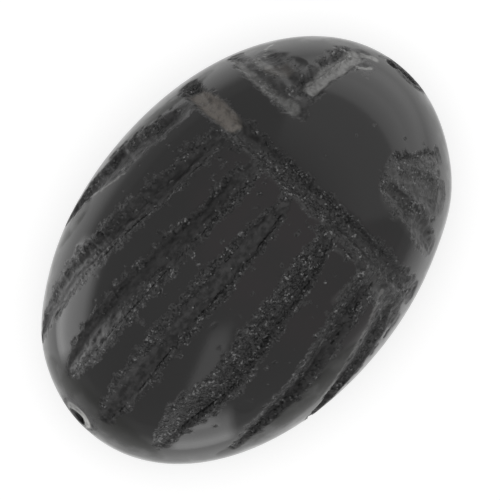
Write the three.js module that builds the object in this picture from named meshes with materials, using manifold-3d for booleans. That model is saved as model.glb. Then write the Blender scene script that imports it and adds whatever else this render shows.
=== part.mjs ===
// A scarab seal: a beetle-shaped stamp seal cut from one pebble of hard black stone.
//
// The stone is an oval cabochon. Its domed back carries the beetle: one groove across it parts the
// thorax from the wing cases, seven long grooves score the wing cases and their flanks, and a pair of
// grooves meeting at a corner on each side of the thorax set off the head. Below its widest line a
// narrower foot ends in the flat sealing face, which has a border line and a sprig cut into it.
// A stringing hole, drilled a little askew, runs through the stone from tail to head.
//
// Millimetres. The origin is the middle of the sealing face, +Z points up out of the back, and +Y
// points from the tail to the head.

import * as THREE from "three";
import { mergeVertices } from "three/addons/utils/BufferGeometryUtils.js";
import Module from "manifold-3d";

const wasm = await Module();
wasm.setup();

// ---- Driving dimensions ----

const LENGTH = 17; // tail to head
const WIDTH = 11.8; // across the flanks
const HEIGHT = 7.8; // sealing face to the crown of the back

const HALF_LENGTH = LENGTH / 2;
const HALF_WIDTH = WIDTH / 2;

const PLAN_POWER = 2.06; // 2 is an ellipse; a little more makes the two ends of the plan fuller

const GIRDLE_Z = 2.3; // the widest line of the stone
const DOME_RISE = HEIGHT - GIRDLE_Z;
const DOME_POWER = 2.2; // 2 is an ellipse; a little more makes the crown flatter and the flanks steeper

// The foot, as shares of the plan at the girdle and heights above the sealing face.
const GIRDLE_LOW_Z = 1.95;
const WAIST = { share: 0.955, z: 1.5 };
const FOOT_TOP = { share: 0.985, z: 1.1 };
const FOOT_LOW = { share: 0.98, z: 0.5 };
const FACE_SHARE = 0.92; // the flat sealing face against the girdle

const AROUND = 72; // facets round the stone
const DOME_RINGS = 14; // facets from girdle to crown

// A groove's bed is round, and its cutter stands a little way out of the stone.
const BACK_FACETS = 6; // across the bed of a groove of the back
const FACE_FACETS = 3; // across the bed of a line on the sealing face
const BACK_STEP = 0.75; // along a groove of the back
const FACE_STEP = 0.8; // along a line on the sealing face
const CUTTER_LIFT = 0.5;

const BORE_RADIUS = 0.3;
const BORE_SIDES = 20;
const BORE_TAIL = new THREE.Vector3(-0.72, -HALF_LENGTH, 3.3);
const BORE_HEAD = new THREE.Vector3(0.35, HALF_LENGTH, 2.95);
const MOUTH_RADIUS = 0.55; // of the worn funnel at the stone's skin
const MOUTH_DEPTH = 0.5;

// ---- Grooves of the back ----
// Each runs through three points of the plan, [x, y], with its greatest half width and depth.
// At its first and at its last end it tapers over the shares of its length in runOut, down to the
// shares of its width and depth in ends.

const THORAX_GROOVE = {
  through: [[-5.3, 3.1], [0, 2.95], [5.4, 2.65]],
  halfWidth: 0.4,
  depth: 0.28,
  runOut: [0.05, 0.05],
  ends: [0.6, 0.6],
};

// The five grooves on the wing cases, from the beetle's left to its right.
const WING_GROOVES = [
  { through: [[-3.45, 2.35], [-3.9, -2.3], [-3.4, -6.95]], halfWidth: 0.52 },
  { through: [[-1.65, 2.35], [-1.95, -2.4], [-1.95, -7.3]], halfWidth: 0.52 },
  { through: [[0.0, 2.1], [-0.05, -2.8], [0.0, -7.7]], halfWidth: 0.47 },
  { through: [[1.7, 2.3], [2.3, -2.4], [2.05, -7.25]], halfWidth: 0.53 },
  { through: [[3.95, 2.2], [4.45, -1.8], [4.2, -5.6]], halfWidth: 0.45 },
];
const WING_SHAPE = { depth: 0.27, runOut: [0.25, 0.3], ends: [0.6, 0.2] };

// The broad grooves on the flanks, below the wing cases.
const FLANK_GROOVES = [
  { through: [[-4.95, 2.3], [-5.55, -0.9], [-5.4, -3.5]], halfWidth: 0.78 },
  { through: [[5.05, 2.3], [5.58, -0.9], [5.4, -3.5]], halfWidth: 0.72 },
];
const FLANK_SHAPE = { depth: 0.3, runOut: [0.2, 0.4], ends: [0.6, 0.2] };

// The corners that set off the head: a left and a right pair of grooves, each with a hollow in it.
const HEAD_GROOVES = [
  { through: [[-4.7, 4.95], [-3.2, 4.95], [-1.7, 4.95]], halfWidth: 0.4, depth: 0.26 },
  { through: [[-2.15, 5.3], [-2.0, 6.6], [-1.55, 7.9]], halfWidth: 0.5, depth: 0.26 },
  { through: [[-3.9, 5.8], [-3.0, 5.65], [-2.0, 5.25]], halfWidth: 0.5, depth: 0.18 },
  { through: [[1.95, 5.75], [2.6, 6.4], [3.15, 7.1]], halfWidth: 0.34, depth: 0.26 },
  { through: [[2.45, 4.85], [3.6, 4.65], [5.0, 4.25]], halfWidth: 0.45, depth: 0.26 },
  { through: [[2.3, 5.3], [3.3, 5.6], [4.25, 5.7]], halfWidth: 0.75, depth: 0.22 },
];
const HEAD_SHAPE = { runOut: [0.2, 0.3], ends: [0.4, 0.4] };

// ---- The sealing face ----

const BORDER_SHARE = 0.84; // of the flat face
const BORDER = { halfWidth: 0.2, depth: 0.16 };
const BORDER_STEPS = 48;

const SPRIG_HALF_LENGTH = 5.0;
const SPRIG_SHAPE = { runOut: [0.3, 0.3], ends: [0.2, 0.2] };
const SPRIG_STEM = { ...SPRIG_SHAPE, halfWidth: 0.26, depth: 0.24 };
const SPRIG_LEAF = { ...SPRIG_SHAPE, halfWidth: 0.24, depth: 0.2 };
const SPRIG_PAIRS = 5;
const LOWEST_ROOT_Y = -4.1; // where the first and the last pair of leaves leave the stem
const HIGHEST_ROOT_Y = 2.7;
const LEAF_ROOT_X = 0.1;
const LEAF_REACH = 2.3; // of a leaf in the middle of the sprig, outwards
const LEAF_RISE = 1.1; // and towards the head
const LEAF_NARROWING = 0.35; // how much of the reach the first and the last pair lack

// ---- Solids from closed surfaces ----

const MERGE_DISTANCE = 1e-5; // points closer than this are one corner

// A closed three.js geometry as a solid that can be joined and cut.
function solidOf(geometry) {
  const bare = geometry.clone();
  bare.deleteAttribute("normal");
  bare.deleteAttribute("uv");
  const merged = mergeVertices(bare, MERGE_DISTANCE);
  return new wasm.Manifold(
    new wasm.Mesh({
      numProp: 3,
      vertProperties: new Float32Array(merged.attributes.position.array),
      triVerts: new Uint32Array(merged.index.array),
    }),
  );
}

// A solid as a three.js geometry, with flat faces.
function geometryOf(solid) {
  const mesh = solid.getMesh();
  const geometry = new THREE.BufferGeometry();
  geometry.setAttribute("position", new THREE.BufferAttribute(mesh.vertProperties, 3));
  geometry.setIndex(new THREE.BufferAttribute(mesh.triVerts, 1));
  const flat = geometry.toNonIndexed();
  flat.computeVertexNormals();
  return flat;
}

// A surface through rings of points, each ring joined to the next. An open run of rings is capped.
function loftRings(rings, closed) {
  const sides = rings[0].length;
  const positions = rings.flat().flatMap((p) => [p.x, p.y, p.z]);
  const index = [];
  const spans = closed ? rings.length : rings.length - 1;
  for (let i = 0; i < spans; i++) {
    const here = i * sides;
    const next = ((i + 1) % rings.length) * sides;
    for (let j = 0; j < sides; j++) {
      const k = (j + 1) % sides;
      index.push(here + j, next + j, here + k, here + k, next + j, next + k);
    }
  }
  if (!closed) {
    const last = (rings.length - 1) * sides;
    for (let j = 1; j < sides - 1; j++) {
      index.push(0, j, j + 1);
      index.push(last, last + j + 1, last + j);
    }
  }
  const geometry = new THREE.BufferGeometry();
  geometry.setAttribute("position", new THREE.Float32BufferAttribute(positions, 3));
  geometry.setIndex(index);
  return geometry;
}

// ---- The stone before carving ----

function stone() {
  const profile = [new THREE.Vector2(0, 0), new THREE.Vector2(FACE_SHARE, 0)];
  for (const turn of [FOOT_LOW, FOOT_TOP, WAIST]) profile.push(new THREE.Vector2(turn.share, turn.z));
  profile.push(new THREE.Vector2(1, GIRDLE_LOW_Z));
  for (let i = 0; i < DOME_RINGS; i++) {
    const angle = (i / DOME_RINGS) * (Math.PI / 2);
    const share = Math.cos(angle) ** (2 / DOME_POWER);
    const rise = Math.sin(angle) ** (2 / DOME_POWER);
    profile.push(new THREE.Vector2(share, GIRDLE_Z + DOME_RISE * rise));
  }
  profile.push(new THREE.Vector2(0, HEIGHT));
  const body = new THREE.LatheGeometry(profile, AROUND);
  body.rotateX(Math.PI / 2);
  // The round plan of the lathe becomes the oval one.
  const place = body.attributes.position;
  for (let i = 0; i < place.count; i++) {
    const share = Math.hypot(place.getX(i), place.getY(i));
    const x = HALF_WIDTH * share * fuller(place.getX(i) / (share || 1));
    const y = HALF_LENGTH * share * fuller(place.getY(i) / (share || 1));
    place.setXY(i, x, y);
  }
  return solidOf(body);
}

// A sine or cosine drawn out for the oval plan.
function fuller(turn) {
  return Math.sign(turn) * Math.abs(turn) ** (2 / PLAN_POWER);
}

// The point of the domed back above [x, y] of the plan, and the outward normal there.
function onBack(x, y) {
  const across = Math.abs(x) / HALF_WIDTH;
  const along = Math.abs(y) / HALF_LENGTH;
  const out = (across ** PLAN_POWER + along ** PLAN_POWER) ** (1 / PLAN_POWER);
  const rise = (1 - out ** DOME_POWER) ** (1 / DOME_POWER);
  const steep = out ** (DOME_POWER - PLAN_POWER);
  return {
    point: new THREE.Vector3(x, y, GIRDLE_Z + DOME_RISE * rise),
    normal: new THREE.Vector3(
      (Math.sign(x) * steep * across ** (PLAN_POWER - 1)) / HALF_WIDTH,
      (Math.sign(y) * steep * along ** (PLAN_POWER - 1)) / HALF_LENGTH,
      rise ** (DOME_POWER - 1) / DOME_RISE,
    ).normalize(),
  };
}

// The same for the flat sealing face.
function onFace(x, y) {
  return { point: new THREE.Vector3(x, y, 0), normal: new THREE.Vector3(0, 0, -1) };
}

// ---- Cutters ----

// The groove's cross-section at a point: a round bed below the skin, and straight up above it.
function cutterRing(at, along, halfWidth, depth, facets) {
  const side = new THREE.Vector3().crossVectors(along, at.normal).normalize();
  const place = (across, up) =>
    at.point.clone().addScaledVector(side, across).addScaledVector(at.normal, up);
  const ring = [];
  for (let j = 0; j <= facets; j++) {
    const angle = (j / facets) * Math.PI;
    ring.push(place(-halfWidth * Math.cos(angle), -depth * Math.sin(angle)));
  }
  ring.push(place(halfWidth, CUTTER_LIFT), place(-halfWidth, CUTTER_LIFT));
  return ring;
}

// How much of a groove's size is left at share t of its length.
function taper(t, runOut, ends) {
  const grown = (along, end) => end + (1 - end) * Math.sin((Math.min(1, along) * Math.PI) / 2);
  return Math.min(grown(t / runOut[0], ends[0]), grown((1 - t) / runOut[1], ends[1]));
}

// A solid that cuts one groove along a curve of the plan, on the back or on the sealing face.
function grooveCutter(surface, { through, halfWidth, depth, runOut, ends }, step, facets) {
  const curve = new THREE.CatmullRomCurve3(through.map(([x, y]) => new THREE.Vector3(x, y, 0)));
  const steps = Math.max(3, Math.round(curve.getLength() / step));
  const spots = curve.getSpacedPoints(steps).map((p) => surface(p.x, p.y));
  const rings = spots.map((at, i) => {
    const before = spots[Math.max(0, i - 1)].point;
    const after = spots[Math.min(steps, i + 1)].point;
    const along = new THREE.Vector3().subVectors(after, before);
    const left = taper(i / steps, runOut, ends);
    return cutterRing(at, along, halfWidth * left, depth * left, facets);
  });
  return solidOf(loftRings(rings, false));
}

function backCutters() {
  const grooves = [
    THORAX_GROOVE,
    ...WING_GROOVES.map((groove) => ({ ...WING_SHAPE, ...groove })),
    ...FLANK_GROOVES.map((groove) => ({ ...FLANK_SHAPE, ...groove })),
    ...HEAD_GROOVES.map((groove) => ({ ...HEAD_SHAPE, ...groove })),
  ];
  return grooves.map((groove) => grooveCutter(onBack, groove, BACK_STEP, BACK_FACETS));
}

// The stringing hole and the worn funnels at its two mouths.
function boreCutters() {
  const axis = new THREE.Vector3().subVectors(BORE_HEAD, BORE_TAIL).normalize();
  const turn = new THREE.Quaternion().setFromUnitVectors(new THREE.Vector3(0, 1, 0), axis);
  const rod = (bottomRadius, topRadius, length, middle) => {
    const shape = new THREE.CylinderGeometry(topRadius, bottomRadius, length, BORE_SIDES);
    shape.applyQuaternion(turn);
    shape.translate(middle.x, middle.y, middle.z);
    return solidOf(shape);
  };
  const funnelLength = 2 * MOUTH_DEPTH;
  const funnelRadius = BORE_RADIUS + 2 * (MOUTH_RADIUS - BORE_RADIUS);
  const middle = new THREE.Vector3().addVectors(BORE_TAIL, BORE_HEAD).multiplyScalar(0.5);
  return [
    rod(BORE_RADIUS, BORE_RADIUS, LENGTH + 2, middle),
    rod(funnelRadius, BORE_RADIUS, funnelLength, BORE_TAIL),
    rod(BORE_RADIUS, funnelRadius, funnelLength, BORE_HEAD),
  ];
}

// The line round the sealing face.
function borderCutter() {
  const rings = [];
  const halfX = HALF_WIDTH * FACE_SHARE * BORDER_SHARE;
  const halfY = HALF_LENGTH * FACE_SHARE * BORDER_SHARE;
  for (let i = 0; i < BORDER_STEPS; i++) {
    const angle = (i / BORDER_STEPS) * 2 * Math.PI;
    const along = new THREE.Vector3(-halfX * Math.sin(angle), halfY * Math.cos(angle), 0);
    const at = onFace(halfX * fuller(Math.cos(angle)), halfY * fuller(Math.sin(angle)));
    rings.push(cutterRing(at, along, BORDER.halfWidth, BORDER.depth, FACE_FACETS));
  }
  return solidOf(loftRings(rings, true));
}

// A sprig down the middle of the sealing face: a stem and pairs of slanting leaves.
function sprigCutters() {
  const line = (shape, through) => grooveCutter(onFace, { ...shape, through }, FACE_STEP, FACE_FACETS);
  const cutters = [line(SPRIG_STEM, [[0, -SPRIG_HALF_LENGTH], [0, 0], [0, SPRIG_HALF_LENGTH]])];
  for (let pair = 0; pair < SPRIG_PAIRS; pair++) {
    const up = pair / (SPRIG_PAIRS - 1);
    const y = THREE.MathUtils.lerp(LOWEST_ROOT_Y, HIGHEST_ROOT_Y, up);
    const reach = LEAF_REACH * (1 - LEAF_NARROWING * (2 * up - 1) ** 2);
    for (const side of [-1, 1]) {
      const root = [side * LEAF_ROOT_X, y];
      const tip = [side * (LEAF_ROOT_X + reach), y + LEAF_RISE];
      const middle = [(root[0] + tip[0]) / 2, (root[1] + tip[1]) / 2];
      cutters.push(line(SPRIG_LEAF, [root, middle, tip]));
    }
  }
  return cutters;
}

// ---- The seal ----

function carve() {
  const cutters = [...backCutters(), ...boreCutters(), borderCutter(), ...sprigCutters()];
  return cutters.reduce((left, cutter) => left.subtract(cutter), stone());
}

const blackStone = new THREE.MeshStandardMaterial({ color: 0x1b1a1b, roughness: 0.16, metalness: 0 });

const scarab = new THREE.Group();
const seal = new THREE.Mesh(geometryOf(carve()), blackStone);
seal.name = "scarab_seal";
scarab.add(seal);

export default scarab;
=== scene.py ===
import math
from dataclasses import dataclass

import bpy
import numpy as np
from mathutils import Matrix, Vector


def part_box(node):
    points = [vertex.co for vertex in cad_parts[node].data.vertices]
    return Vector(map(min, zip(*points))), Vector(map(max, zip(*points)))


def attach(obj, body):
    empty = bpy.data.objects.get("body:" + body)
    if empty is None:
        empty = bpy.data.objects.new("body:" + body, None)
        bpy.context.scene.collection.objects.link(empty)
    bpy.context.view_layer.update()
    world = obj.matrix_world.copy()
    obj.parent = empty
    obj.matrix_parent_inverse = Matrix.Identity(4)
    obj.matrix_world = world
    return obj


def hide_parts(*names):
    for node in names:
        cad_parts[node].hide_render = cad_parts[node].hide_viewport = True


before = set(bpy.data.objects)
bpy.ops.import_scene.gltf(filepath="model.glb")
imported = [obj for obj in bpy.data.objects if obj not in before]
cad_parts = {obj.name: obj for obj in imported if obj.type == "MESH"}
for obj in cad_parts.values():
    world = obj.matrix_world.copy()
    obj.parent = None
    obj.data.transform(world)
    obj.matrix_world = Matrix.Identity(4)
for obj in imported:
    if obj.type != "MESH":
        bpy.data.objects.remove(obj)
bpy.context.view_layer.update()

# A scarab seal cut from one pebble of black stone, lying on its sealing face.
#
# The polished skin follows the solid's own formula. Every groove is pressed into a fine mesh of that
# skin, with a rough bed, a ragged edge and small chips, and one material tells polished stone, worked
# stone and pale deposits apart by what the mesh knows about each point. The material also paints shade
# into the grooves and the bore, and paints highlights and glints onto some edges and grains.
#
# Lengths are millimetres of the seal as made, 17 long, until a mesh, a lamp or the camera is made.
# +Y points from the beetle's tail to its head, +X to its right and +Z up out of its back.

NODE = "scarab_seal"
LENGTH = 17.0
box_low, box_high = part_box(NODE)
MM = (box_high.y - box_low.y) / LENGTH

HALF_LENGTH = LENGTH / 2
HALF_WIDTH = (box_high.x - box_low.x) / MM / 2
CROWN_LOSS = 0.016  # what the middle groove takes off the top of the back
CROWN = box_high.z / MM + CROWN_LOSS
GIRDLE_Z = 0.295 * CROWN  # the widest line of the stone
DOME_RISE = CROWN - GIRDLE_Z
PLAN_POWER = 2.06
DOME_POWER = 2.2
# The side below the girdle, as shares of the plan and heights: waist, foot and the rim of the face.
SIDE = [(1.0, GIRDLE_Z), (1.0, 1.95), (0.955, 1.5), (0.985, 1.1), (0.98, 0.5), (0.92, 0.0)]

# The skin's mesh: a grid over the back, a coarser one over the sealing face, rows between them.
BACK_GRID = ((222, 308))
SIDE_ROWS = 15

# The stringing hole runs through the stone from tail to head and flares at its two mouths.
BORE_RADIUS = 0.3
BORE_TAIL = np.array([-0.72, -HALF_LENGTH, 3.3])
BORE_HEAD = np.array([0.35, HALF_LENGTH, 2.95])
MOUTH_RADIUS = 0.55
MOUTH_DEPTH = 0.5
MOUTH_POWER = 1.5


NO_LINE = 9.0  # so far outside a groove that its dark line is nowhere


@dataclass
class Groove:
    """A groove through knots of the plan: x, y and half width, from tail to head or left to right.

    Grit and painted shade are given at evenly spaced places across it, from just outside its left
    border to just outside its right one.
    """

    route: list
    depth: float = 0.24
    walls: tuple = (0.7, 0.7)  # how wide its left and right walls are, as shares of the half width
    run_out: tuple = (0.3, 0.12)  # shares of its length over which its two ends grow shallow
    rough: float = 0.022  # how uneven its bed is
    grit: tuple = (0.7, 0.8, 0.5, 0.5, 0.5, 0.8, 0.7)  # how grainy the stone is
    # how dark its painted shade is at those places, where its walls and bed lie in shadow
    painted_shade: tuple = (0, 0.3, 0.5, 0.4, 0.3, 0.2, 0)
    # the dark line along a groove is painted shade in a notch of its bed
    line: float = NO_LINE  # where a dark line runs along it: -1 is its left border, 1 its right one
    line_blur: float = 0.0  # how far the line's darkness spreads, in mm


BACK_GROOVES = [
    # across the back, between thorax and wing cases
    Groove([(-5.3, 3.08, 0.36), (-3, 3.05, 0.42), (0, 2.95, 0.42), (3, 2.88, 0.38), (5.4, 2.65, 0.4)],
           run_out=(0.04, 0.1), grit=(0.4, 0.8, 0.6, 0.8, 1, 0.9, 0.4), painted_shade=(0, 0.7, 0.5, 0.1, 0, 0.2, 0.1)),
    # the wing cases, from the beetle's left to its right
    Groove([(-3.45, -6.95, 0.2), (-3.8, -6.0, 0.45), (-4.05, -4.6, 0.56), (-3.9, -2.0, 0.52),
            (-3.6, 0.0, 0.46), (-3.35, 2.3, 0.34)], walls=(0.7, 1.4),
           grit=(0.8, 0.6, 0.3, 0.2, 0.3, 0.7, 0.8), painted_shade=(0, 0.5, 0.9, 0.5, 0.1, 0, 0), line=0.75),
    Groove([(-1.9, -7.3, 0.2), (-2.0, -6.4, 0.5), (-2.1, -5.0, 0.62), (-1.95, -2.0, 0.5),
            (-1.8, 0.0, 0.42), (-1.65, 2.3, 0.36)], walls=(0.5, 1.3),
           grit=(0.5, 0.3, 0.1, 0.4, 0.8, 0.8, 0.9), painted_shade=(0.2, 1, 0.7, 0.2, 0.1, 0, 0), line=0.62),
    Groove([(0.05, -7.7, 0.25), (0.0, -6.5, 0.5), (-0.1, -4.0, 0.5), (-0.05, 0.0, 0.45),
            (-0.05, 1.5, 0.28), (0.0, 2.2, 0.14)], depth=0.2, walls=(0.9, 0.6),
           grit=(0.7, 0.9, 0.4, 0, 0.1, 0.7, 0.8), painted_shade=(0, 0.4, 0.3, 0.1, 0.3, 0.4, 0), line=0.72),
    Groove([(2.1, -7.2, 0.25), (2.1, -6.0, 0.5), (2.45, -4.0, 0.55), (2.25, -1.5, 0.5),
            (2.15, 0.3, 0.48), (1.8, 2.4, 0.32)], walls=(1.4, 0.5),
           grit=(0.5, 0.9, 1, 1, 0.9, 0.8, 0.8), painted_shade=(0, 0, 0.1, 0.1, 0.3, 0.5, 0.1),
           line=0.72, line_blur=0.1),
    Groove([(4.2, -5.5, 0.15), (4.4, -3.5, 0.4), (4.45, -2.0, 0.45), (4.2, 0.0, 0.52),
            (3.95, 2.2, 0.38)], walls=(1.4, 0.5),
           grit=(0.6, 0.9, 1, 0.9, 0.7, 0.5, 0.5), painted_shade=(0, 0, 0, 0, 0.2, 0.5, 0.1),
           line=0.72, line_blur=0.14),
    # scuffed stone and a thin crack where the wing cases meet the thorax
    Groove([(3.8, 2.2, 0.25), (4.8, 1.9, 0.4), (5.6, 1.5, 0.3)], depth=0.1, painted_shade=(0, 0, 0, 0, 0, 0, 0),
           grit=(0.5, 0.5, 0.4, 0.4, 0.4, 0.5, 0.5)),
    Groove([(2.1, 2.0, 0.07), (2.8, 2.2, 0.08), (3.45, 2.1, 0.1), (3.65, 1.7, 0.1), (3.58, 0.8, 0.07)],
           depth=0.06, rough=0.0, grit=(0.3, 0.3, 0, 0, 0, 0.3, 0.3), painted_shade=(0, 0, 0.1, 0.3, 0.1, 0, 0)),
    # the flanks
    Groove([(-5.45, -3.3, 0.15), (-5.55, -2.2, 0.5), (-5.45, -0.6, 0.72), (-5.2, 0.9, 0.6),
            (-4.85, 2.3, 0.42)], painted_shade=(0, 0.2, 0.3, 0.4, 0.4, 0.4, 0.1)),
    Groove([(5.52, -3.3, 0.12), (5.6, -2.2, 0.4), (5.58, -1.0, 0.6), (5.42, 0.5, 0.64),
            (5.1, 2.1, 0.45)], grit=(0.4, 0.4, 0.3, 0.5, 0.6, 0.6, 0.5), painted_shade=(0, 0.3, 0.1, 0, 0, 0, 0)),
    # the left corner of the head
    Groove([(-4.7, 4.98, 0.26), (-3.6, 4.97, 0.34), (-2.4, 4.95, 0.34), (-1.65, 4.9, 0.25)], depth=0.12,
           walls=(1.6, 0.5), run_out=(0.1, 0.2), rough=0.03, grit=(0.1, 0.3, 0.3, 0.5, 0.4, 0.7, 0.5),
           painted_shade=(0.1, 0.3, 0.3, 0.1, 0, 0, 0)),
    Groove([(-3.9, 5.7, 0.35), (-3.3, 5.6, 0.5), (-2.5, 5.45, 0.45), (-1.9, 5.2, 0.3)], depth=0.11,
           walls=(0.7, 1.6), run_out=(0.1, 0.2), grit=(0.1, 0, 0, 0.1, 0.2, 0.2, 0.3),
           painted_shade=(0, 0.2, 0.5, 0.5, 0.3, 0, 0)),
    Groove([(-2.3, 5.3, 0.25), (-2.15, 6.5, 0.3), (-1.95, 7.6, 0.3)], run_out=(0.1, 0.2),
           grit=(0.3, 0.7, 1, 1, 0.9, 0.8, 0.5), painted_shade=(0, 0.2, 0.5, 0.6, 0.4, 0.1, 0)),
    Groove([(-1.85, 5.5, 0.22), (-1.7, 6.7, 0.28), (-1.35, 7.95, 0.3)], depth=0.18, run_out=(0.1, 0.2),
           grit=(0, 0, 0, 0.1, 0.2, 0.3, 0.4), painted_shade=(0, 0, 0, 0, 0, 0, 0)),
    # the right corner of the head
    Groove([(1.95, 5.75, 0.22), (2.6, 6.35, 0.28), (3.0, 6.85, 0.25)], depth=0.13, run_out=(0.15, 0.3),
           walls=(0.6, 1.4), painted_shade=(0, 0, 0.1, 0, 0, 0, 0)),
    Groove([(2.3, 4.95, 0.32), (3.1, 4.8, 0.45), (3.9, 4.7, 0.35)], depth=0.2, run_out=(0.15, 0.4),
           rough=0.04, grit=(0.7, 0.9, 0.9, 0.8, 0.6, 0.8, 0.7), painted_shade=(0, 0, 0.3, 0.5, 0.2, 0, 0)),
    Groove([(3.4, 4.75, 0.3), (4.2, 4.5, 0.42), (4.85, 4.3, 0.35)], depth=0.16, run_out=(0.4, 0.3),
           grit=(0.4, 0.2, 0, 0, 0.1, 0.3, 0.4), painted_shade=(0, 0, 0, 0, 0, 0, 0)),
    Groove([(2.3, 5.3, 0.5), (3.2, 5.6, 0.8), (3.9, 5.7, 0.65)], depth=0.15, run_out=(0.2, 0.3), rough=0.014,
           grit=(0.8, 0.8, 0.6, 0.3, 0.2, 0.3, 0.4), painted_shade=(0, 0, 0, 0, 0, 0, 0)),
]

# ---- Random fields ----

TABLE = 64  # a table of random values, this long in each direction, repeats itself endlessly


def noise(points, size, seed):
    """Smooth random values between -1 and 1 at the points, changing over the given size."""
    table = np.random.default_rng(seed).uniform(-1, 1, (TABLE, TABLE, TABLE))
    cell = np.floor(points / size).astype(int)
    part = points / size - cell
    part = part * part * (3 - 2 * part)
    total = np.zeros(len(points))
    for corner in np.ndindex(2, 2, 2):
        weight = np.prod(np.where(corner, part, 1 - part), axis=1)
        i, j, k = ((cell + corner) % TABLE).T
        total += weight * table[i, j, k]
    return total


def unit(vectors):
    return vectors / np.linalg.norm(vectors, axis=-1, keepdims=True)


def dot(a, b):
    return np.sum(a * b, axis=-1)


def rising(t):
    """A smooth step from 0 at 0 to 1 at 1."""
    t = np.clip(t, 0, 1)
    return t * t * (3 - 2 * t)


# ---- The uncut stone ----


def fuller(turn):
    """A sine or cosine drawn out for the oval plan."""
    return np.sign(turn) * np.abs(turn) ** (2 / PLAN_POWER)


def on_back(x, y):
    """Points of the uncut back above places of the plan, and the outward normals there."""
    across, along = np.abs(x) / HALF_WIDTH, np.abs(y) / HALF_LENGTH
    out = np.clip((across**PLAN_POWER + along**PLAN_POWER) ** (1 / PLAN_POWER), 1e-6, 1)
    rise = np.maximum(1 - out**DOME_POWER, 0) ** (1 / DOME_POWER)
    points = np.stack([x, y, GIRDLE_Z + DOME_RISE * rise], axis=-1)
    steep = out ** (DOME_POWER - PLAN_POWER)
    normals = np.stack([
        np.sign(x) * steep * across ** (PLAN_POWER - 1) / HALF_WIDTH,
        np.sign(y) * steep * along ** (PLAN_POWER - 1) / HALF_LENGTH,
        rise ** (DOME_POWER - 1) / DOME_RISE,
    ], axis=-1)
    return points, unit(normals)


def on_face(x, y):
    """The same for the sealing face."""
    points = np.stack([x, y, np.zeros_like(x)], axis=-1)
    normals = np.tile([0.0, 0.0, -1.0], (len(x), 1))
    return points, normals


def side_profile():
    """The side from girdle to face with its turns worn round, as evenly spaced shares and heights."""
    line = np.array(SIDE)
    for _ in range(3):
        cut = np.stack([0.75 * line[:-1] + 0.25 * line[1:], 0.25 * line[:-1] + 0.75 * line[1:]], axis=1)
        line = np.vstack([line[:1], cut.reshape(-1, 2), line[-1:]])
    steps = np.hypot(np.diff(line[:, 0]) * HALF_WIDTH, np.diff(line[:, 1]))
    way = np.concatenate([[0], np.cumsum(steps)])
    spots = np.linspace(0, way[-1], SIDE_ROWS + 1)
    return np.stack([np.interp(spots, way, line[:, 0]), np.interp(spots, way, line[:, 1])], axis=1)


def disk_grid(columns, rows):
    """A grid laid over the unit disk: each knot's distance from the middle and its angle."""
    u, v = np.meshgrid(np.linspace(-1, 1, columns + 1), np.linspace(-1, 1, rows + 1))
    far = np.maximum(np.abs(u), np.abs(v))
    wide = np.abs(u) >= np.abs(v)
    with np.errstate(divide="ignore", invalid="ignore"):
        angle = np.where(wide, math.pi / 4 * v / u, math.pi / 2 - math.pi / 4 * u / v)
    angle = np.where(np.where(wide, u, v) < 0, angle + math.pi, angle)
    return far, np.nan_to_num(angle)


def oval(share, angle):
    """Places of the plan at shares of the outline, as x and y."""
    return (
        share * HALF_WIDTH * fuller(np.cos(angle)),
        share * HALF_LENGTH * fuller(np.sin(angle)),
    )


def rim(index):
    """The border of a grid of vertex numbers, once round against the clock from its first corner."""
    return np.concatenate([index[0, :-1], index[:-1, -1], index[-1, :0:-1], index[:0:-1, 0]])


def quads(index):
    """The grid's cells as faces that look up."""
    return np.stack([index[:-1, :-1], index[:-1, 1:], index[1:, 1:], index[1:, :-1]], axis=-1).reshape(-1, 4)


def uncut_stone():
    """Vertices and faces of the stone before carving."""
    far, angle = disk_grid(*BACK_GRID)
    turn = far * math.pi / 2
    x, y = oval(np.sin(turn) ** (2 / DOME_POWER), angle)
    z = GIRDLE_Z + DOME_RISE * np.cos(turn).clip(0) ** (2 / DOME_POWER)
    back = np.arange(far.size).reshape(far.shape)
    vertices = [np.stack([x, y, z], axis=-1).reshape(-1, 3)]
    count = far.size

    # Every second knot of the back's border carries on down the side.
    round_angles = angle.reshape(-1)[rim(back)][::2]
    rows = []
    for share, height in side_profile()[1:-1]:
        x, y = oval(share, round_angles)
        vertices.append(np.stack([x, y, np.full_like(x, height)], axis=-1))
        rows.append(count + np.arange(len(x)))
        count += len(x)

    far, angle = disk_grid(BACK_GRID[0] // 2, BACK_GRID[1] // 2)
    x, y = oval(far * SIDE[-1][0], angle)
    face = count + np.arange(far.size).reshape(far.shape)
    vertices.append(np.stack([x, y, np.zeros_like(x)], axis=-1).reshape(-1, 3))
    rows.append(rim(face))

    faces = quads(back).tolist() + quads(face)[:, ::-1].tolist()
    for upper, lower in zip(rows, rows[1:]):
        faces += np.stack([upper, lower, np.roll(lower, -1), np.roll(upper, -1)], axis=1).tolist()
    fine, coarse = rim(back), rows[0]
    first, middle, last = fine[::2], fine[1::2], np.roll(fine[::2], -1)
    faces += np.stack([first, coarse, middle], axis=1).tolist()
    faces += np.stack([middle, coarse, np.roll(coarse, -1)], axis=1).tolist()
    faces += np.stack([middle, np.roll(coarse, -1), last], axis=1).tolist()
    return np.vstack(vertices), faces


ROD_OVERHANG = 0.9
ROD_STATIONS = 90
ROD_SIDES = 40


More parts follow.
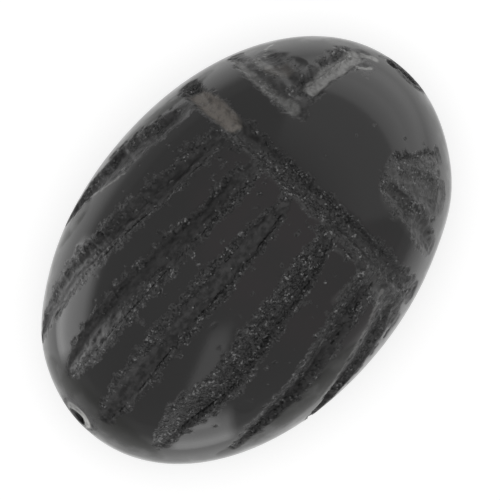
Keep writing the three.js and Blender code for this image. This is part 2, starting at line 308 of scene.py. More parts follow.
def bore_rod():
    """The stringing hole as a rod that stands out of the stone at both mouths."""
    axis = unit(BORE_HEAD - BORE_TAIL)
    side = unit(np.cross(axis, [0, 0, 1]))
    up = np.cross(side, axis)
    whole = np.linalg.norm(BORE_HEAD - BORE_TAIL)
    stations = np.linspace(-ROD_OVERHANG, whole + ROD_OVERHANG, ROD_STATIONS)
    depth = np.minimum(stations, whole - stations)
    flare = np.maximum(1 - depth / MOUTH_DEPTH, 0) ** MOUTH_POWER
    radii = BORE_RADIUS + (MOUTH_RADIUS - BORE_RADIUS) * flare
    angles = np.arange(ROD_SIDES) * 2 * math.pi / ROD_SIDES
    spokes = np.cos(angles)[:, None] * side + np.sin(angles)[:, None] * up
    centres = BORE_TAIL + stations[:, None] * axis
    vertices = (centres[:, None] + radii[:, None, None] * spokes).reshape(-1, 3)
    vertices += 0.02 * noise(vertices, 0.3, 5)[:, None] * np.tile(spokes, (ROD_STATIONS, 1))

    index = np.arange(len(vertices)).reshape(ROD_STATIONS, ROD_SIDES)
    here, ahead = index[:-1], index[1:]
    walls = np.stack([here, np.roll(here, -1, 1), np.roll(ahead, -1, 1), ahead], axis=-1)
    faces = walls.reshape(-1, 4).tolist() + [index[0, ::-1].tolist(), index[-1].tolist()]
    return vertices, faces


def mesh_object(name, vertices, faces):
    """An object in the scene, from vertices in mm of the seal."""
    mesh = bpy.data.meshes.new(name)
    mesh.from_pydata((vertices * MM).tolist(), [], faces)
    mesh.update()
    made = bpy.data.objects.new(name, mesh)
    bpy.context.scene.collection.objects.link(made)
    return made


def bored_stone():
    """The uncut stone with the stringing hole through it."""
    stone = mesh_object("carved_stone", *uncut_stone())
    rod = mesh_object("bore_rod", *bore_rod())
    cut = stone.modifiers.new("bore", "BOOLEAN")
    cut.operation = "DIFFERENCE"
    cut.solver = "MANIFOLD"
    cut.object = rod
    seen = stone.evaluated_get(bpy.context.evaluated_depsgraph_get())
    bored = bpy.data.meshes.new_from_object(seen)
    stone.modifiers.clear()
    stone.data = bored
    bpy.data.objects.remove(rod)
    return stone


# ---- Carving ----

STEP = 0.08  # from one point of a route to the next
STREAK = 2  # how many times longer than wide the marks in a groove are
SOFT = 0.015  # how far a worn edge is rounded
NARROWEST = 0.05  # half the width of a groove, at least
BESIDE = 0.6  # how far beyond its half width a groove looks for vertices
LINE_WIDTH = 0.06  # the notch of a dark line in a groove's bed
LINE_DEPTH = 0.06
CHIP_SEED = 77
ACROSS = np.linspace(-1.2, 1.2, 7)  # the places across a groove where its grit and dark are given


def smooth_route(knots):
    """Points on a smooth curve through the knots. All columns of the knots are carried along."""
    knots = np.array(knots, float)
    ends = np.vstack([2 * knots[0] - knots[1], knots, 2 * knots[-1] - knots[-2]])
    runs = []
    for a, b, c, d in zip(ends, ends[1:], ends[2:], ends[3:]):
        steps = max(2, round(math.dist(b[:2], c[:2]) / STEP))
        t = np.arange(steps)[:, None] / steps
        runs.append(b + (c - a) * t / 2 + (a - 2.5 * b + 2 * c - d / 2) * t**2
                    + (1.5 * b - a / 2 - 1.5 * c + d / 2) * t**3)
    return np.vstack(runs + [knots[-1:]])


def growth(groove, share):
    """How deep a groove is at shares of its length. Its full depth is 1."""
    grown = np.minimum(share / groove.run_out[0], (1 - share) / groove.run_out[1]).clip(0, 1)
    return 0.2 + 0.8 * np.sin(grown * math.pi / 2)


def raggedness(groove, spots, right, seed):
    """How far a border lies aside of its smooth line. Grainy stone reaches out in tufts."""
    tufts = (noise(spots, 0.16, seed) - 0.1).clip(0) * np.interp(1.2 * right, ACROSS, groove.grit)
    return 0.07 * noise(spots, 0.5, seed + 1) + 0.05 * noise(spots, 0.2, seed + 2) - 0.2 * tufts


def smooth_bed(groove, q, grown):
    """Heights over the skin. Outside its borders a bed rises clear of the skin and cuts nothing."""
    cut = rising((1 + q) / groove.walls[0]) * rising((1 - q) / groove.walls[1])
    return -groove.depth * grown * cut + 2.5 * groove.depth * (abs(q) - 1).clip(0)


def roughness(groove, spots, flow, q, grit, seed):
    """What a rough bed adds to its heights: marks drawn out along it, and finer grains."""
    grain = noise(flow, 0.25, seed + 3) + noise(spots, 0.15, seed + 4) + noise(spots, 0.08, seed + 5)
    return groove.rough * grain * (0.4 + 0.6 * grit) * (1.25 - abs(q)).clip(0, 0.5) / 0.5


def painted_shade_in(groove, spots, q, share, hairline, seed):
    """Painted shade in blotches, where the groove lies in shadow. It can spread from the dark line too, until
    near the groove's second end.
    """
    painted_shade = np.interp(q, ACROSS, groove.painted_shade)
    if groove.line_blur:
        line_dark = 1.1 * np.exp(-((hairline / groove.line_blur) ** 2))
        painted_shade = np.maximum(painted_shade, line_dark * rising((0.85 - share) / 0.15))
    return painted_shade * growth(groove, share) * (0.75 + 0.5 * noise(spots, 1.3, seed + 8))


class Skin:
    """The stone's vertices as they are carved, with what each of them knows for the material."""

    KNOWN = ("worked", "grit", "painted_shade", "line", "dust", "crushed_and_painted_highlight", "film", "warm")

    def __init__(self, vertices):
        self.start = vertices
        self.now = vertices.copy()
        count = len(vertices)
        self.worked = np.full(count, -1.0)  # how far inside a groove's border, in mm
        self.grit = np.zeros(count)  # how grainy the stone is
        self.painted_shade = np.zeros(count)  # how dark the painted shade in it is
        self.line = np.ones(count)  # how far from a hairline, in mm
        self.dust = np.zeros(count)  # warm pale deposit
        self.crushed_and_painted_highlight = np.zeros(count)  # white bruised stone, and painted highlights on some edges
        self.film = np.zeros(count)  # a dull film on the polish
        self.warm = np.zeros(count)  # a brownish cast of the stone itself
        self.flow = vertices.copy()  # a place in mm that changes slowly along a groove

    def know(self, name, which, values):
        """Raises what the vertices know to the values."""
        field = getattr(self, name)
        field[which] = np.maximum(field[which], values)

    def press(self, which, normals, room):
        """Moves vertices against the normals where the room above the cut has run out."""
        self.now[which] += normals * (-SOFT * np.logaddexp(0, -room / SOFT))[:, None]

    def nearest(self, line, reach):
        """The vertices within reach of the line, and for each the number of its nearest point."""
        low, high = line.min(0) - reach, line.max(0) + reach
        which = np.flatnonzero(np.all((self.start > low) & (self.start < high), axis=1))
        spots = self.start[which]
        far = (spots**2).sum(1)[:, None] - 2 * spots @ line.T + (line**2).sum(1)
        place = far.argmin(1)
        near = far[np.arange(len(which)), place] < reach**2
        return which[near], place[near]

    def carve(self, groove, surface, seed):
        """Cuts a groove. Gives the points of its middle line, the ways to its right, and its half widths."""
        route = smooth_route(groove.route)
        line, normals = surface(route[:, 0], route[:, 1])
        along = unit(np.gradient(line, axis=0))
        sides = unit(np.cross(along, normals))
        half = route[:, 2].clip(NARROWEST)

        which, place = self.nearest(line, half.max() + BESIDE)
        spots = self.start[which]
        offset = spots - line[place]
        ahead = dot(offset, along[place])
        past = np.where(place == 0, -ahead, np.where(place == len(line) - 1, ahead, 0)).clip(0)
        across = dot(offset, sides[place])
        right = np.sign(across)  # -1 on the left of the middle line, 1 on the right
        out = np.hypot(across, past)  # from the middle line, and round its two ends
        smooth_q = out / half[place] * right
        out = out + raggedness(groove, spots, right, seed)
        q = out / half[place] * right  # -1 at the left border, 1 at the right one

        share = place / (len(line) - 1)
        grown = growth(groove, share)
        patchy = 0.85 + 0.5 * noise(spots, 1.0, seed + 2)
        grit = np.interp(q, ACROSS, groove.grit) * (0.6 + 0.4 * grown) * patchy
        flow = np.stack([across, (place * STEP + ahead) / STREAK, np.full(len(across), seed)], axis=1)
        hairline = np.abs(smooth_q - groove.line) * half[place] + 0.03 * noise(spots, 0.4, seed + 6)
        bed = smooth_bed(groove, q, grown) + roughness(groove, spots, flow, q, grit, seed)
        bed -= LINE_DEPTH * np.exp(-((hairline / LINE_WIDTH) ** 2)) * grown
        self.press(which, normals[place], bed - dot(self.now[which] - line[place], normals[place]))

        # Only vertices close to the groove know of it, and none on the other side of the stone's rim.
        own = (np.abs(dot(offset, normals[place])) < 0.5) & (abs(q) < 1.3)
        # painted shade: darkness for the colour where the groove's walls and bed lie in shadow
        painted_shade = painted_shade_in(groove, spots, q, share, hairline, seed)
        fading = 0.12 * (noise(spots, 1.1, seed + 7) - 0.4).clip(0) + 0.1 * (0.5 - grown).clip(0)
        which = which[own]
        self.flow[which] = flow[own]
        self.know("worked", which, (half[place] - out)[own])
        self.know("grit", which, grit[own])
        self.know("painted_shade", which, painted_shade[own])
        self.line[which] = np.minimum(self.line[which], (hairline + fading)[own])
        return line, sides, half

    def chip(self, centre, normal, radius, depth, grit=1.0):
        """A shallow scoop out of the skin, round a point of it. Without grit its bed stays polished."""
        ball = (radius**2 + depth**2) / (2 * depth)
        which = np.flatnonzero(np.all(np.abs(self.start - centre) < radius * 2, axis=1))
        offset = self.start[which] - centre
        wide = np.linalg.norm(offset - dot(offset, normal)[:, None] * normal, axis=1)
        wide = wide + 0.5 * radius * noise(self.start[which], radius, CHIP_SEED)
        bed = (ball - depth) - np.sqrt(np.maximum(ball**2 - wide**2, 0))
        bed = np.where(wide > radius, wide, bed)  # outside the scoop nothing is cut
        self.press(which, normal, bed - dot(self.now[which] - centre, normal))
        self.know("worked", which, np.where(grit > 0, (radius - wide) * grit, -1))
        self.know("grit", which, (wide < radius) * grit)

    def stain(self, name, knots, surface, strength, seed):
        """A deposit, a bruise or a painted highlight along knots of x, y and half width."""
        route = smooth_route(knots)
        line, _ = surface(route[:, 0], route[:, 1])
        which, place = self.nearest(line, route[:, 2].max() + 0.3)
        spots = self.start[which]
        out = np.linalg.norm(spots - line[place], axis=1) + 0.06 * noise(spots, 0.25, seed)
        fade = (1.15 - out / route[place, 2]).clip(0, 0.4) / 0.4
        self.know(name, which, strength * fade)


def scoop(skin, x, y, radius, depth, grit=1.0):
    """A chip out of the back."""
    centre, normal = on_back(np.array([x]), np.array([y]))
    skin.chip(centre[0], normal[0], radius, depth, grit)


CHIPS_PER_POINT = 0.5
PITS = 150  # on the wing cases
DENTS = 5
THORAX_PITS = 16
# shell-like breaks in the left corner of the head: x, y, radius, depth and grit
HEAD_BREAKS = [(-3.47, 5.94, 0.45, 0.06, 0.0), (-2.9, 6.1, 0.35, 0.05, 0.0), (-1.02, 7.59, 0.22, 0.06, 0.2)]


def carve_back(skin):
    """The grooves with chips along their borders, then pits, dents and breaks between them."""
    random = np.random.default_rng(11)
    for number, groove in enumerate(BACK_GROOVES):
        line, sides, half = skin.carve(groove, on_back, 20 + 9 * number)
        for k in random.integers(0, len(line), round(len(line) * CHIPS_PER_POINT)):
            side = random.choice([-1, 1])
            radius = random.uniform(0.05, 0.13)
            x, y, _ = line[k] + side * sides[k] * half[k] * random.uniform(0.9, 1.25)
            scoop(skin, x, y, radius, radius * random.uniform(0.1, 0.25))
    for _ in range(PITS):
        x, y = random.uniform(-4.8, 4.8), random.triangular(-6.5, 2.5, 2.6)
        radius = random.uniform(0.03, 0.08)
        scoop(skin, x, y, radius, radius * 0.2)
    for _ in range(DENTS):
        x, y = random.uniform(-4, 4.5), random.uniform(-6, 2)
        scoop(skin, x, y, random.uniform(0.2, 0.4), 0.015, grit=0.0)
    for _ in range(THORAX_PITS):
        x, y = random.uniform(-3, 4), random.uniform(3.8, 7)
        scoop(skin, x, y, random.uniform(0.04, 0.07), 0.012)
    for x, y, radius, depth, grit in HEAD_BREAKS:
        scoop(skin, x, y, radius, depth, grit)


# The sprig on the sealing face has pairs of leaves that rise from its stem towards the head.
BORDER_SHARE = 0.84  # where the border line runs, as a share of the face
SPRIG_HALF_LENGTH = 5
LEAF_PAIRS = 5
LOWEST_ROOT_Y = -4.1
ROOT_SPREAD = 6.8  # from the lowest pair's roots to the highest pair's
LEAF_ROOT_X = 0.1
LEAF_REACH = 2.3
LEAF_RISE = 1.1
LEAF_NARROWING = 0.35  # how much of the reach the first and the last pair lack
FACE_ROUGH = 0.012


def carve_face(skin):
    """A border line round the sealing face, and a sprig inside it."""
    angles = np.linspace(0, 2 * math.pi, 97)
    x, y = oval(SIDE[-1][0] * BORDER_SHARE, angles)
    border = Groove(np.stack([x, y, np.full_like(x, 0.2)], axis=1).tolist(), depth=0.16,
                    run_out=(0.001, 0.001), rough=FACE_ROUGH)
    skin.carve(border, on_face, 301)
    stem = [(0, -SPRIG_HALF_LENGTH, 0.12), (0, -SPRIG_HALF_LENGTH / 2, 0.26),
            (0, SPRIG_HALF_LENGTH / 2, 0.26), (0, SPRIG_HALF_LENGTH, 0.12)]
    skin.carve(Groove(stem, depth=0.24, rough=FACE_ROUGH), on_face, 302)
    for pair in range(LEAF_PAIRS):
        up = pair / (LEAF_PAIRS - 1)
        root_y = LOWEST_ROOT_Y + ROOT_SPREAD * up
        reach = LEAF_REACH * (1 - LEAF_NARROWING * (2 * up - 1) ** 2)
        for side in (-1, 1):
            leaf = [(side * LEAF_ROOT_X, root_y, 0.16),
                    (side * (LEAF_ROOT_X + reach / 2), root_y + LEAF_RISE / 2, 0.24),
                    (side * (LEAF_ROOT_X + reach), root_y + LEAF_RISE, 0.1)]
            skin.carve(Groove(leaf, depth=0.2, rough=FACE_ROUGH), on_face, 310 + pair)


# What lies on the back: a name, how strong it is, a seed, and knots of x, y and half width.
STAINS = [
    # a dull film on the tail and on both flanks
    ("film", 0.8, 400, [(-2.6, -7.6, 0.8), (-1, -8.0, 1.4), (0.8, -8.0, 1.4), (2.0, -7.8, 0.8)]),
    ("film", 0.9, 410, [(-5.3, -2.6, 0.5), (-5.1, -4.4, 0.6), (-4.4, -6.0, 0.5), (-3.2, -7.3, 0.4)]),
    ("film", 0.9, 421, [(5.2, -0.4, 0.6), (5.1, -2.5, 0.75), (4.8, -4.2, 0.8), (4.2, -5.8, 0.6)]),
    ("film", 0.9, 422, [(-5.7, -0.5, 0.3), (-5.6, 1.0, 0.4), (-5.35, 2.4, 0.45), (-5.1, 3.8, 0.4)]),
    # a brownish cast over the middle of the back, and a deposit at the left end of the cross groove
    ("warm", 1.0, 411, [(-1.5, 1.2, 1.6), (1, 0.6, 2.6), (4, 1.2, 2.4)]),
    ("dust", 1.0, 401, [(-4.95, 3.05, 0.28), (-4.2, 3.1, 0.36), (-3.3, 3.08, 0.3)]),
    # a green brown deposit and crushed stone in the left corner of the head
    ("dust", 0.24, 412, [(-3.5, 5.4, 0.25), (-3.1, 5.7, 0.35)]),
    ("crushed_and_painted_highlight", 0.2, 402, [(-2.0, 5.8, 0.26), (-1.85, 6.7, 0.38), (-1.58, 7.65, 0.36)]),
    ("crushed_and_painted_highlight", 0.2, 403, [(-1.3, 7.95, 0.16), (-0.95, 8.05, 0.16)]),
    ("crushed_and_painted_highlight", 0.25, 404, [(-1.2, 7.45, 0.06), (-0.85, 7.7, 0.08)]),
    # a painted highlight along the pale lower border of the head's left arm, where its edge catches the light
    ("crushed_and_painted_highlight", 0.12, 405, [(-4.6, 4.85, 0.15), (-3.2, 4.78, 0.2), (-1.9, 4.8, 0.2)]),
    ("crushed_and_painted_highlight", 0.015, 413, [(-4.3, 5.1, 0.3), (-2.9, 5.15, 0.45), (-2.1, 5.1, 0.4)]),
    ("crushed_and_painted_highlight", 0.3, 414, [(-3.92, 5.63, 0.06), (-4.05, 5.86, 0.07), (-3.99, 6.11, 0.05)]),
    ("crushed_and_painted_highlight", 0.16, 415, [(-4.1, 5.3, 0.14), (-3.65, 5.35, 0.18)]),
    ("crushed_and_painted_highlight", 0.14, 416, [(-2.25, 4.92, 0.14), (-1.95, 4.92, 0.18)]),
    # crushed stone in the right corner and where the wing cases meet the thorax, then a painted highlight
    # along the thin crack's edge
    ("crushed_and_painted_highlight", 0.03, 408, [(2.2, 5.4, 0.4), (3.2, 6.0, 0.8), (4.0, 6.1, 0.7)]),
    ("crushed_and_painted_highlight", 0.025, 419, [(2.6, 4.7, 0.4), (3.6, 4.6, 0.5), (4.8, 4.2, 0.4)]),
    ("crushed_and_painted_highlight", 0.012, 420, [(-3.4, 2.95, 0.3), (0, 2.75, 0.35), (3, 2.65, 0.35), (5.3, 2.4, 0.3)]),
    ("crushed_and_painted_highlight", 0.02, 417, [(3.2, 2.6, 0.4), (4.4, 2.2, 0.6), (5.5, 2.0, 0.5)]),
    ("crushed_and_painted_highlight", 0.03, 418, [(3.5, 2.05, 0.08), (3.62, 1.8, 0.12), (3.56, 1.2, 0.14), (3.5, 0.6, 0.1)]),
    # painted highlights along the flanks' inner borders, where their edges catch the light
    ("crushed_and_painted_highlight", 0.2, 406, [(-4.95, -0.5, 0.05), (-5.2, -1.5, 0.07), (-5.4, -2.2, 0.06)]),
    ("crushed_and_painted_highlight", 0.16, 407, [(4.66, 2.0, 0.1), (4.7, 1.7, 0.06), (5.03, 0.5, 0.07), (5.3, -1, 0.07),
                            (5.42, -2.2, 0.06)]),
]
FILM_TOP = 4.9  # below this height the film also lies all round the stone
FILM_FADE = 1.8


def stain_back(skin):
    """The stains of the back, and the film round the stone's lower half."""
    for name, strength, seed, knots in STAINS:
        skin.stain(name, knots, on_back, strength, seed)
    skin.know("film", slice(None), rising((FILM_TOP - skin.start[:, 2]) / FILM_FADE))


# Where stone has spalled off at the bore's mouths: a mouth, the way from it to the spall's middle, the
# way the spall faces, its radius, depth and grit.
SPALLS = [
    (BORE_TAIL, (-0.05, 0.08, 0.25), (-0.05, -1, 0.35), 0.78, 0.16, 0.3),
    (BORE_HEAD, (-0.1, -0.06, 0.05), (0.05, 1, 0.1), 0.8, 0.1, 0.5),
    (BORE_HEAD, (-0.75, -0.2, 0.5), (-0.05, 1, 0.6), 0.3, 0.1, 0.5),
]
DARK_RADIUS = 0.36  # Inside this the bore gets painted shade. Round it, a ring of crushed stone begins.
RING_RADIUS = 0.5
SPALL_RISE = 0.3  # how much further the broken stone reaches above the bore than beside it


def break_mouths(skin):
    """Spalls where the bore comes out, crushed stone round the tail's mouth that is painted paler on its
    right side, and painted shade inside the bore and in the head's spall.
    """
    for mouth, aside, facing, radius, depth, grit in SPALLS:
        skin.chip(mouth + aside, unit(np.array(facing)), radius, depth, grit)

    axis = unit(BORE_HEAD - BORE_TAIL)
    offset = skin.start - BORE_TAIL
    along = offset @ axis
    from_axis = offset - along[:, None] * axis
    out = np.linalg.norm(from_axis, axis=1)
    reach = out - SPALL_RISE * (from_axis[:, 2] / out.clip(0.01)).clip(0)
    ring = rising((out - DARK_RADIUS) / 0.04) * (1 - rising((reach - RING_RADIUS) / 0.08)) * (along < 1.5)
    # painted highlight: the crushed ring is made paler towards its right side, where the light falls
    lit = 0.25 + 0.4 * rising(0.6 + offset[:, 0] + 0.5 * noise(skin.start, 0.3, 501))
    skin.know("crushed_and_painted_highlight", slice(None), ring * lit)
    # painted shade deep inside the bore and in the broken stone round the head's mouth
    inside = rising((along + 0.6 * from_axis[:, 0] - 0.05) / 0.25) * (out < DARK_RADIUS) * (along < LENGTH)
    head_spall = (along > LENGTH - 1.2) * (1 - rising((reach - 0.6) / 0.2))
    skin.know("painted_shade", slice(None), np.maximum(4.0 * inside, 1.2 * head_spall))
    broken = reach < 0.7
    skin.know("worked", slice(None), np.where(broken & (along > -1), 0.3, -1))
    skin.know("grit", slice(None), 0.3 * broken)


# Where the plan is a little fuller: an angle in degrees, how far round it spreads, and by what share.
BULGES = [(55, 11, 0.016), (244, 10, 0.009)]


def swell(skin):
    """Makes corners of the plan a little fuller than the oval."""
    x, y = skin.start[:, 0], skin.start[:, 1]
    turn = np.degrees(np.arctan2(y, x))
    share = rising(2 * np.hypot(x / HALF_WIDTH, y / HALF_LENGTH) - 1)
    for angle, spread, amount in BULGES:
        away = (turn - angle + 180) % 360 - 180
        skin.now[:, :2] *= (1 + amount * share * np.exp(-((away / spread) ** 2)))[:, None]


def carve_stone(stone):
    """Carves the mesh, and gives it what its skin knows as attributes for the material."""
    mesh = stone.data
    flat = np.zeros(len(mesh.vertices) * 3, np.float32)
    mesh.vertices.foreach_get("co", flat)
    skin = Skin(flat.reshape(-1, 3).astype(float) / MM)
    carve_back(skin)
    carve_face(skin)
    stain_back(skin)
    break_mouths(skin)
    swell(skin)
    mesh.vertices.foreach_set("co", (skin.now * MM).astype(np.float32).reshape(-1))
    for name in Skin.KNOWN:
        known = mesh.attributes.new(name, "FLOAT", "POINT")
        known.data.foreach_set("value", getattr(skin, name).astype(np.float32))
    flow = mesh.attributes.new("flow", "FLOAT_VECTOR", "POINT")
    flow.data.foreach_set("vector", skin.flow.astype(np.float32).reshape(-1))
    mesh.shade_smooth()
    mesh.update()


# ---- Materials ----


class Nodes:
    """Short ways to add shader nodes to a tree. All but add give an output to link to."""

    def __init__(self, tree):
        self.tree = tree

    def add(self, kind, inputs=None, **settings):
        """A new node, with its settings, and its inputs set or linked."""
        node = self.tree.nodes.new("ShaderNode" + kind)
        for name, value in settings.items():
            setattr(node, name, value)
        for name, value in (inputs or {}).items():
            if isinstance(value, bpy.types.NodeSocket):
                self.tree.links.new(value, node.inputs[name])
            else:
                node.inputs[name].default_value = value
        return node

    def known(self, name, output="Fac"):
        """What the skin knows under that name."""
        return self.add("Attribute", attribute_name=name).outputs[output]

    def grains(self, place, size, detail=3.0, rough=0.5):
        """Noise between 0 and 1 with lumps of that size, in the unit of the place."""
        inputs = {"Vector": place, "Scale": 1 / size, "Detail": detail, "Roughness": rough}
        return self.add("TexNoise", inputs).outputs["Fac"]

    def ramp(self, value, start, stop, low=0.0, high=1.0):
        """A smooth step from low at start to high at stop."""
        inputs = {"Value": value, "From Min": start, "From Max": stop, "To Min": low, "To Max": high}
        return self.add("MapRange", inputs, interpolation_type="SMOOTHSTEP").outputs["Result"]

    def math(self, operation, *values):
        """The result of a Math node."""
        return self.add("Math", dict(enumerate(values)), operation=operation).outputs[0]

    def mix(self, share, first, second):
        """A colour: the first at share 0 and the second at share 1. Each is an output or three numbers."""
        inputs = {0: share, 6: opaque(first), 7: opaque(second)}
        return self.add("Mix", inputs, data_type="RGBA").outputs[2]


def opaque(colour):
    """Three numbers made into an opaque colour. An output stays as it is."""
    return colour if isinstance(colour, bpy.types.NodeSocket) else (*colour, 1)


class StoneNodes(Nodes):
    """Nodes that know a place on the seal."""

    def __init__(self, tree):
        super().__init__(tree)
        self.place = self.add("TexCoord").outputs["Object"]

    def fine_noise(self, size, detail=3.0, rough=0.55):
        """Noise between 0 and 1 with lumps of that size in mm."""
        return self.grains(self.place, size * MM, detail, rough)

    def patchy(self, value, size, start, stop, low, high=1.0, rough=0.55):
        """The value times noise that steps from low to high."""
        patches = self.ramp(self.fine_noise(size, 4.0, rough), start, stop, low, high)
        return self.math("MULTIPLY", value, patches)


CELL = 0.062  # the size of one grain of worked stone
SCRATCH = 0.06
SCRATCH_TURN = 0.85
SCRATCH_SQUEEZE = 0.03  # a scratch is that share as wide as it is long
RELIEF_HEIGHT = 0.035
REFRACTION = 1.44


def polished_tone(nodes, film):
    """The polish: brownish in places, and a little paler under its film."""
    clouds = nodes.ramp(nodes.fine_noise(1.6, 2.0), 0.3, 0.6, 0.35, 1.0)
    cast = nodes.math("MULTIPLY", nodes.known("warm"), clouds)
    tone = nodes.mix(cast, (0.0243, 0.024, 0.024), (0.0272, 0.0246, 0.0252))
    return nodes.mix(film, tone, (0.036, 0.0363, 0.0344))


def worked_tone(nodes, grit, cells):
    """A bed: worn smooth in places, and in others grainy, with painted glints in clusters."""
    streaks = nodes.grains(nodes.known("flow", "Vector"), 0.16)
    lumps = nodes.ramp(nodes.math("ADD", streaks, nodes.fine_noise(0.2)), 0.75, 1.25)
    worn = nodes.mix(lumps, (0.013, 0.0127, 0.0128), (0.042, 0.0412, 0.0414))
    cell_values = nodes.add("SeparateColor", {"Color": cells.outputs["Color"]}).outputs
    grey = nodes.ramp(cell_values["Red"], 0.0, 1.0)
    grainy = nodes.mix(grey, (0.006, 0.006, 0.006), (0.048, 0.0475, 0.0477))
    # painted glints: bright specks in the colour, in clusters, where grains would catch the light
    clusters = nodes.ramp(nodes.fine_noise(0.3), 0.4, 0.65, 0.0, 0.35)
    painted_glint = nodes.ramp(nodes.math("ADD", cell_values["Green"], clusters), 0.95, 1.35)
    grainy = nodes.mix(painted_glint, grainy, (0.19, 0.19, 0.19))
    return nodes.mix(grit, worn, grainy)


def painted_shade_amount(nodes):
    """How dark the painted shade in the grooves, the bore and along the hairlines is."""
    waver = nodes.math("MULTIPLY_ADD", nodes.fine_noise(0.1, 3.0, 0.6), 0.1, nodes.known("line"))
    hairline = nodes.ramp(waver, 0.055, 0.09, 0.8, 0.0)
    painted_shade = nodes.patchy(nodes.known("painted_shade"), 0.2, 0.35, 0.65, 0.15, 0.7, rough=0.65)
    return nodes.math("MAXIMUM", painted_shade, hairline)


def relief(nodes, worked, grit, cells):
    """Fine relief that is no mesh: grains on worked stone, and faint scratches on the polish."""
    drawn_out = nodes.add("Mapping", {"Vector": nodes.place, "Rotation": (0, 0, SCRATCH_TURN),
                                      "Scale": (1, SCRATCH_SQUEEZE, 1)}).outputs["Vector"]
    scratches = nodes.ramp(nodes.grains(drawn_out, SCRATCH * MM), 0.3, 0.7)
    fine = nodes.fine_noise(0.07, 4.0, 0.65)
    height = nodes.math("MULTIPLY_ADD", cells.outputs["Distance"], 0.5, fine)
    height = nodes.math("MULTIPLY_ADD", scratches, 0.5, height)
    strength = nodes.math("MULTIPLY_ADD", grit, 0.8, nodes.ramp(worked, 0, 1, 0.02, 0.2))
    bump = nodes.add("Bump", {"Strength": strength, "Distance": RELIEF_HEIGHT * MM, "Height": height})
    return bump.outputs["Normal"]


def stone_material():
    """Black stone: its polish, its worked beds with painted glints, what lies on both, painted shade and
    painted highlights.
    """
    material = bpy.data.materials.new("black_stone")
    material.use_nodes = True
    material.node_tree.nodes.clear()
    nodes = StoneNodes(material.node_tree)

    # Worked stone begins along a ragged border.
    worked = nodes.math("MULTIPLY_ADD", nodes.fine_noise(0.1, 4.0, 0.7), 0.5, nodes.known("worked"))
    worked = nodes.ramp(worked, 0.14, 0.26)
    grit = nodes.math("MULTIPLY_ADD", nodes.fine_noise(0.28, 4.0, 0.65), 2.0, nodes.known("grit"))
    grit = nodes.math("MULTIPLY", nodes.ramp(grit, 1.3, 1.6), worked)
    cells = nodes.add("TexVoronoi", {"Vector": nodes.place, "Scale": 1 / (CELL * MM)})
    film = nodes.patchy(nodes.known("film"), 0.8, 0.3, 0.6, 0.6)
    painted_shade = painted_shade_amount(nodes)

    colour = nodes.mix(worked, polished_tone(nodes, film), worked_tone(nodes, grit, cells))
    # painted shade: shadowed groove walls, hairlines, the bore and the head's spall darkened in the colour
    colour = nodes.mix(painted_shade, colour, (0.003, 0.003, 0.003))
    dust = nodes.patchy(nodes.known("dust"), 0.25, 0.3, 0.55, 0.4)
    colour = nodes.mix(dust, colour, (0.15, 0.136, 0.122))
    # partly crushed stone, partly painted highlights along edges and on the lit side of the tail's ring
    crushed_and_painted_highlight = nodes.patchy(nodes.known("crushed_and_painted_highlight"), 0.18, 0.3, 0.6, 0.5)
    colour = nodes.mix(crushed_and_painted_highlight, colour, (0.66, 0.66, 0.64))

    roughness = nodes.math("ADD", nodes.ramp(worked, 0, 1, 0.12, 0.34), nodes.math("MULTIPLY", grit, 0.15))
    shine = nodes.math("MULTIPLY", nodes.ramp(painted_shade, 0, 1, 0.5, 0.08), nodes.ramp(film, 0, 1, 1.0, 0.15))
    surface = nodes.add("BsdfPrincipled", {
        "Base Color": colour, "Roughness": roughness, "Specular IOR Level": shine, "IOR": REFRACTION,
        "Normal": relief(nodes, worked, grit, cells),
    })
    nodes.add("OutputMaterial", {"Surface": surface.outputs["BSDF"]})
    return material


# ---- Studio ----

PICTURE_TURN = math.radians(40.5)  # the picture's right, measured from the beetle's right
PICTURE_WIDTH = 17.69  # what the picture takes in at the girdle
PICTURE_ASIDE = 0.1415  # how far its middle lies to the right of the stone's
LENS, SENSOR = 1000.0, 36.0


def picture_direction(angle):
    """A level direction given as an angle in the picture: 0 is its right and 90 its top."""
    turn = PICTURE_TURN + math.radians(angle)
    return Vector((math.cos(turn), math.sin(turn), 0))


def make_camera():
    """A camera far above the stone, looking straight down."""
    data = bpy.data.cameras.new("camera")
    data.lens = LENS
    data.sensor_width = SENSOR
    data.clip_start = 0.01
    data.clip_end = 2.0
    camera = bpy.data.objects.new("camera", data)
    bpy.context.scene.collection.objects.link(camera)
    height = PICTURE_WIDTH * LENS / SENSOR + GIRDLE_Z
    camera.location = (PICTURE_ASIDE * picture_direction(0) + Vector((0, 0, height))) * MM
    camera.rotation_euler = (0, 0, PICTURE_TURN)
    bpy.context.scene.camera = camera


def area_lamp(name, place, target, width, height, radiance):
    """A rectangular lamp that the camera doesn't see."""
    data = bpy.data.lights.new(name, "AREA")
    data.shape = "RECTANGLE"
    data.size, data.size_y = width * MM, height * MM
    data.energy = radiance * math.pi * data.size * data.size_y
    lamp = bpy.data.objects.new(name, data)
    bpy.context.scene.collection.objects.link(lamp)
    lamp.location = place * MM
    lamp.rotation_euler = (place - target).to_track_quat("Z", "Y").to_euler()
    lamp.visible_camera = False
    return lamp


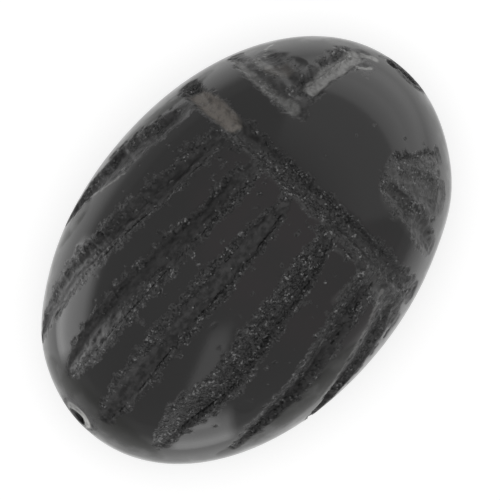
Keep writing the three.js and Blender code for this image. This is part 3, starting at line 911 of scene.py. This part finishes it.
def shape_light(lamp, profile, side_fade):
    """Gives a lamp strengths at shares of its height, and lets its light fade at its sides."""
    lamp.data.use_nodes = True
    nodes = Nodes(lamp.data.node_tree)
    spot = nodes.add("SeparateXYZ", {0: nodes.add("NewGeometry").outputs["Parametric"]})
    from_middle = nodes.math("ABSOLUTE", nodes.math("SUBTRACT", spot.outputs["X"], 0.5))
    sides = nodes.add("MapRange", {"Value": from_middle, "From Min": 0.5, "From Max": 0.5 - side_fade})
    strengths = nodes.add("ValToRGB", {0: spot.outputs["Y"]})
    stops = strengths.color_ramp.elements
    for share, strength in profile[1:-1]:
        stops.new(share).color = (strength, strength, strength, 1)
    for stop, (share, strength) in ((stops[0], profile[0]), (stops[-1], profile[-1])):
        stop.position = share
        stop.color = (strength, strength, strength, 1)
    both = nodes.math("MULTIPLY", sides.outputs["Result"], strengths.outputs["Color"])
    nodes.tree.links.new(both, nodes.tree.nodes["Emission"].inputs["Strength"])


@dataclass
class Softbox:
    """An upright lamp that stands on the floor beside the stone and lights only the stone."""

    name: str
    angle: float  # in the picture: 0 is its right and 90 its top
    distance: float
    width: float
    height: float
    radiance: float
    profile: list  # how strong its light is at shares of its height
    side_fade: float = 0.01  # over what share of its width the light fades at each side


SOFTBOXES = [
    Softbox("left", 185, 14, 11, 8.4, 2.4, [(0, 0.4), (0.2, 1), (0.75, 0.9), (1, 0)], side_fade=0.12),
    Softbox("bottom", -93, 14, 5.8, 8.4, 1.8, [(0, 0.4), (0.2, 1), (0.7, 0.9), (1, 0)], side_fade=0.15),
    Softbox("bottom_tall", -91, 60, 21, 145, 0.9, [(0, 1), (0.7, 1), (1, 0)], side_fade=0.15),
    Softbox("head", 49, 15, 24, 9.4, 1.2, [(0, 0), (0.3, 1), (0.6, 0.95), (0.96, 0.5), (1, 0)]),
    Softbox("head_tall", 42, 300, 700, 620, 0.3, [(0, 1), (0.5, 1), (1, 0)]),
]
OVERHEAD_HEIGHT = 300
OVERHEAD_SIZE = 400
OVERHEAD_RADIANCE = 1.2
ROOM_LIGHT = 0.35


def make_softbox(box):
    """The lamp that a Softbox describes."""
    target = Vector((0, 0, box.height / 2))
    place = picture_direction(box.angle) * box.distance + target
    lamp = area_lamp(box.name, place, target, box.width, box.height, box.radiance)
    shape_light(lamp, box.profile, box.side_fade)
    return lamp


def make_lights(stone):
    """Softboxes for the seal alone, a wide lamp overhead, and a pale room."""
    lit = bpy.data.collections.new("lit_by_softboxes")
    lit.objects.link(stone)
    for box in SOFTBOXES:
        make_softbox(box).light_linking.receiver_collection = lit
    # The overhead lamp is no part of what the polish reflects.
    overhead = area_lamp("overhead", Vector((0, 0, OVERHEAD_HEIGHT)), Vector((0, 0, 0)), OVERHEAD_SIZE,
                         OVERHEAD_SIZE, OVERHEAD_RADIANCE)
    overhead.visible_glossy = False
    world = bpy.data.worlds.new("studio")
    bpy.context.scene.world = world
    world.use_nodes = True
    background = world.node_tree.nodes["Background"]
    background.inputs["Color"].default_value = (1, 1, 1, 1)
    background.inputs["Strength"].default_value = ROOM_LIGHT


FLOOR_SIZE = 3.0  # in metres
FLOOR_GAP = 2e-5  # in metres: keeps the floor clear of the sealing face
FLOOR_GREY = 0.55
GLOW = 0.66
GLOW_REACH = (12.5, 28)  # the floor glows fully up to the first distance and not at all past the second


def make_floor():
    """A light table that glows round the stone."""
    bpy.ops.mesh.primitive_plane_add(size=FLOOR_SIZE, location=(0, 0, -FLOOR_GAP))
    floor = bpy.context.object
    floor.name = "floor"
    material = bpy.data.materials.new("light_table")
    material.use_nodes = True
    nodes = Nodes(material.node_tree)
    place = nodes.add("TexCoord").outputs["Object"]
    far = nodes.add("VectorMath", {0: place}, operation="LENGTH").outputs["Value"]
    glow = nodes.ramp(far, GLOW_REACH[0] * MM, GLOW_REACH[1] * MM, GLOW, 0.0)
    shader = nodes.tree.nodes["Principled BSDF"]
    nodes.tree.links.new(glow, shader.inputs["Emission Strength"])
    shader.inputs["Base Color"].default_value = (FLOOR_GREY, FLOOR_GREY, FLOOR_GREY, 1)
    shader.inputs["Roughness"].default_value = 0.9
    shader.inputs["Specular IOR Level"].default_value = 0.0
    shader.inputs["Emission Color"].default_value = (1, 1, 1, 1)
    floor.data.materials.append(material)


bpy.context.scene.view_settings.view_transform = "Standard"
stone = bored_stone()
carve_stone(stone)
stone.data.materials.clear()
stone.data.materials.append(stone_material())
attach(stone, "root")
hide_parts(NODE)
make_camera()
make_lights(stone)
make_floor()
